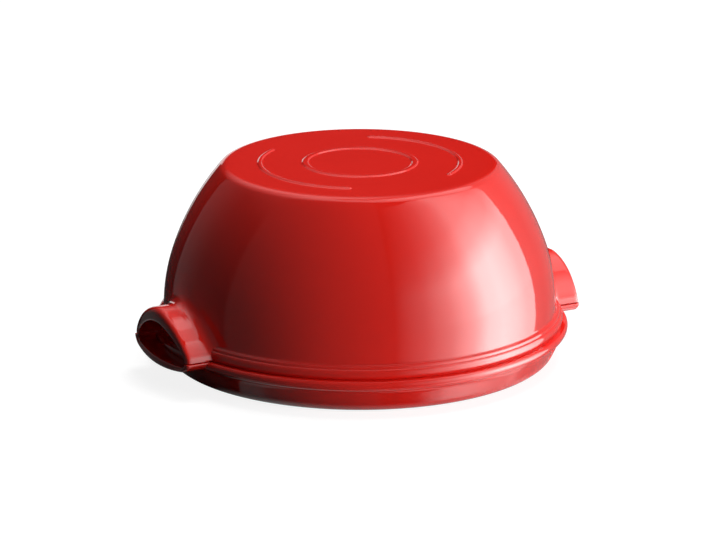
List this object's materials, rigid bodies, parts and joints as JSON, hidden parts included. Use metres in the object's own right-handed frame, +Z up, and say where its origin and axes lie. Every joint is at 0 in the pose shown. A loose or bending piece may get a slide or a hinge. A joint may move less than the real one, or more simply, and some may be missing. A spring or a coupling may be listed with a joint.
{
  "type": "bread cloche",
  "caption": "Round glazed ceramic bread baker: a deep domed lid lifts off a shallow tray, each with half handles that form a mouth for the hand.",
  "frame": {"origin": "centre of the tray's foot, on the surface that it stands on", "axes": "+Z up, from the tray to the lid's flat top; +X towards one pair of half handles, -X towards the other"},
  "size_m": [0.321, 0.295, 0.1398],
  "materials": {
    "tray_glaze": "glossy",
    "lid_glaze": "glossy"
  },
  "bodies": {
    "tray": {"base_tray": "tray_glaze", "base_handle_left": "tray_glaze", "base_handle_right": "tray_glaze"},
    "lid": {"lid_dome": "lid_glaze", "lid_handle_left": "lid_glaze", "lid_handle_right": "lid_glaze"}
  },
  "joints": [
    {"name": "lid_lift", "type": "slide", "parent": "tray", "child": "lid", "axis": [0, 0, 1], "range_m": [0, 0.15]}
  ]
}
